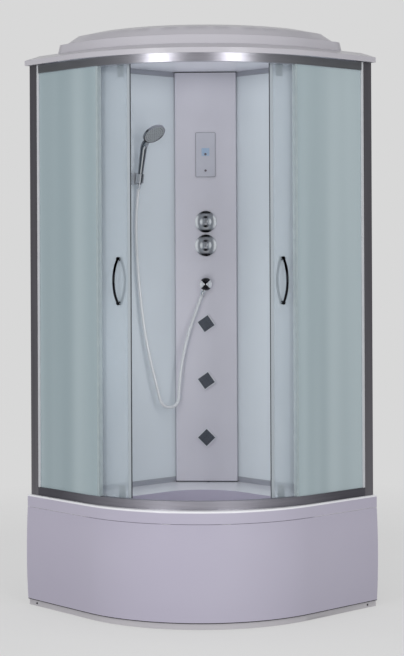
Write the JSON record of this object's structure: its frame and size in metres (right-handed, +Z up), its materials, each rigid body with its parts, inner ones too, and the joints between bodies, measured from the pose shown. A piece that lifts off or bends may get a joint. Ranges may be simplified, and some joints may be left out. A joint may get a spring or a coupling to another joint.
{
  "type": "shower cabin",
  "caption": "Quarter-round corner shower cabin: deep tray, curved glass, two sliding doors on rollers, back walls, column with knobs and jets, hand shower on a hose, domed roof.",
  "frame": {"origin": "centre of the bounding box at floor level", "axes": "+Z up, -Y out of the doorway towards the room, +X to the right as seen from the room; the corner of the two walls lies at the back, at +Y"},
  "size_m": [1.2728, 1.045, 2.079],
  "materials": {
    "acrylic": "glossy moulded acrylic",
    "back_panel": "glossy panel",
    "column": "satin metallic moulding",
    "satin_aluminium": "satin anodised",
    "chrome": "polished",
    "plated_plastic": "chrome plated",
    "frosted_glass": "frosted with soft vertical bands",
    "clear_glass": "lightly tinted",
    "dark_seal": "soft",
    "pale_seal": "translucent",
    "white_bead": "smooth",
    "black_plastic": "moulded",
    "roller_plastic": "moulded",
    "jet_plastic": "dark face in a pale housing",
    "steel": "zinc plated",
    "brass": "cast and turned",
    "grey_plastic": "moulded",
    "control_face": "smooth touch plate",
    "button_plastic": "moulded",
    "hose_skin": "silver smooth hose"
  },
  "bodies": {
    "cabin": {"apron": "acrylic", "apron_brackets": "steel", "bottom_rail": "satin_aluminium", "ceiling_panel": "acrylic", "column_seals": "dark_seal", "column_shell": "column", "control_plate": "control_face", "fixed_edge_seals": "pale_seal", "foot_pads": "black_plastic", "foot_studs_and_nuts": "steel", "glazing_beads": "white_bead", "hose_outlet": "chrome", "left_back_wall": "back_panel", "left_fixed_glass": "frosted_glass", "outlet_nut": "chrome", "right_back_wall": "back_panel", "right_fixed_glass": "frosted_glass", "roof": "acrylic", "shower_bracket": "plated_plastic", "shower_clip": "plated_plastic", "shower_hose": "hose_skin", "supply_pipe_and_fittings": "grey_plastic", "toe_screws": "steel", "toe_strip": "acrylic", "top_rail": "satin_aluminium", "tray": "acrylic", "tray_frame": "steel", "valve_body": "brass", "wall_channels": "satin_aluminium", "wall_posts": "satin_aluminium", "waste_flange": "chrome", "waste_pipe": "grey_plastic", "waste_trap": "grey_plastic"},
    "left_door": {"left_door_glass": "clear_glass", "left_door_seal": "dark_seal", "left_door_handles": "chrome", "left_roller_brackets": "steel"},
    "left_top_lead_roller": {"left_top_lead_roller": "roller_plastic"},
    "left_top_trail_roller": {"left_top_trail_roller": "roller_plastic"},
    "left_low_lead_roller": {"left_low_lead_roller": "roller_plastic"},
    "left_low_trail_roller": {"left_low_trail_roller": "roller_plastic"},
    "right_door": {"right_door_glass": "clear_glass", "right_door_seal": "dark_seal", "right_door_handles": "chrome", "right_roller_brackets": "steel"},
    "right_top_lead_roller": {"right_top_lead_roller": "roller_plastic"},
    "right_top_trail_roller": {"right_top_trail_roller": "roller_plastic"},
    "right_low_lead_roller": {"right_low_lead_roller": "roller_plastic"},
    "right_low_trail_roller": {"right_low_trail_roller": "roller_plastic"},
    "mixer_knob": {"mixer_knob": "chrome"},
    "diverter_knob": {"diverter_knob": "chrome"},
    "jet_1": {"jet_1": "jet_plastic"},
    "jet_2": {"jet_2": "jet_plastic"},
    "jet_3": {"jet_3": "jet_plastic"},
    "upper_button": {"upper_button": "button_plastic"},
    "lower_button": {"lower_button": "button_plastic"},
    "waste_cover": {"waste_cover": "chrome"},
    "handset": {"handset": "plated_plastic", "spray_face": "grey_plastic", "handset_nut": "chrome"}
  },
  "joints": [
    {"name": "left_door_slide", "type": "hinge", "parent": "cabin", "child": "left_door", "pos_m": [0.03576, 0.20401, 1.18], "axis": [0, 0, 1], "range_deg": [0, 21.46]},
    {"name": "left_top_lead_roller_turn", "type": "hinge", "parent": "left_door", "child": "left_top_lead_roller", "pos_m": [-0.2741, -0.37121, 1.9498], "axis": [-0.4377, -0.8991, 0], "range_deg": [-1752.21, 0]},
    {"name": "left_top_trail_roller_turn", "type": "hinge", "parent": "left_door", "child": "left_top_trail_roller", "pos_m": [-0.49193, -0.17705, 1.9498], "axis": [-0.843, -0.5379, 0], "range_deg": [-1744.18, 0]},
    {"name": "left_low_lead_roller_turn", "type": "hinge", "parent": "left_door", "child": "left_low_lead_roller", "pos_m": [-0.2741, -0.37121, 0.4132], "axis": [-0.4377, -0.8991, 0], "range_deg": [0, 1752.21]},
    {"name": "left_low_trail_roller_turn", "type": "hinge", "parent": "left_door", "child": "left_low_trail_roller", "pos_m": [-0.49193, -0.17705, 0.4132], "axis": [-0.843, -0.5379, 0], "range_deg": [0, 1744.18]},
    {"name": "right_door_slide", "type": "hinge", "parent": "cabin", "child": "right_door", "pos_m": [-0.05087, 0.23788, 1.18], "axis": [0, 0, -1], "range_deg": [0, 22.72]},
    {"name": "right_top_lead_roller_turn", "type": "hinge", "parent": "right_door", "child": "right_top_lead_roller", "pos_m": [0.29857, -0.35579, 1.9498], "axis": [0.4574, -0.8893, 0], "range_deg": [0, 1954.2]},
    {"name": "right_top_trail_roller_turn", "type": "hinge", "parent": "right_door", "child": "right_top_trail_roller", "pos_m": [0.51209, -0.1569, 1.9498], "axis": [0.8546, -0.5192, 0], "range_deg": [0, 1949.49]},
    {"name": "right_low_lead_roller_turn", "type": "hinge", "parent": "right_door", "child": "right_low_lead_roller", "pos_m": [0.29857, -0.35579, 0.4132], "axis": [0.4574, -0.8893, 0], "range_deg": [-1954.2, 0]},
    {"name": "right_low_trail_roller_turn", "type": "hinge", "parent": "right_door", "child": "right_low_trail_roller", "pos_m": [0.51209, -0.1569, 0.4132], "axis": [0.8546, -0.5192, 0], "range_deg": [-1949.49, 0]},
    {"name": "mixer_knob_turn", "type": "hinge", "parent": "cabin", "child": "mixer_knob", "pos_m": [0, 0.35649, 1.398], "axis": [0, -1, 0], "range_deg": [-90, 90]},
    {"name": "diverter_knob_turn", "type": "hinge", "parent": "cabin", "child": "diverter_knob", "pos_m": [0, 0.35649, 1.306], "axis": [0, -1, 0], "range_deg": [-135, 135]},
    {"name": "jet_1_turn", "type": "hinge", "parent": "cabin", "child": "jet_1", "pos_m": [0, 0.36049, 1.001], "axis": [0, -1, 0], "continuous": true},
    {"name": "jet_2_turn", "type": "hinge", "parent": "cabin", "child": "jet_2", "pos_m": [0, 0.36049, 0.779], "axis": [0, -1, 0], "continuous": true},
    {"name": "jet_3_turn", "type": "hinge", "parent": "cabin", "child": "jet_3", "pos_m": [0, 0.36049, 0.557], "axis": [0, -1, 0], "continuous": true},
    {"name": "upper_button_press", "type": "slide", "parent": "cabin", "child": "upper_button", "axis": [0, 1, 0], "range_m": [0, 0.001], "stiffness_N_per_m": 600, "springref_m": -0.001},
    {"name": "lower_button_press", "type": "slide", "parent": "cabin", "child": "lower_button", "axis": [0, 1, 0], "range_m": [0, 0.001], "stiffness_N_per_m": 600, "springref_m": -0.001},
    {"name": "waste_cover_lift", "type": "slide", "parent": "cabin", "child": "waste_cover", "axis": [0, 0, 1], "range_m": [0, 0.03]},
    {"name": "handset_lift", "type": "slide", "parent": "cabin", "child": "handset", "axis": [0.1349, -0.1349, 0.9816], "range_m": [0, 0.065]}
  ],
  "couplings": [
    {"joint": "left_top_lead_roller_turn", "follows": "left_door_slide", "ratio": -81.602},
    {"joint": "left_top_trail_roller_turn", "follows": "left_door_slide", "ratio": -81.228},
    {"joint": "left_low_lead_roller_turn", "follows": "left_door_slide", "ratio": 81.602},
    {"joint": "left_low_trail_roller_turn", "follows": "left_door_slide", "ratio": 81.228},
    {"joint": "right_top_lead_roller_turn", "follows": "right_door_slide", "ratio": 85.97},
    {"joint": "right_top_trail_roller_turn", "follows": "right_door_slide", "ratio": 85.763},
    {"joint": "right_low_lead_roller_turn", "follows": "right_door_slide", "ratio": -85.97},
    {"joint": "right_low_trail_roller_turn", "follows": "right_door_slide", "ratio": -85.763}
  ]
}
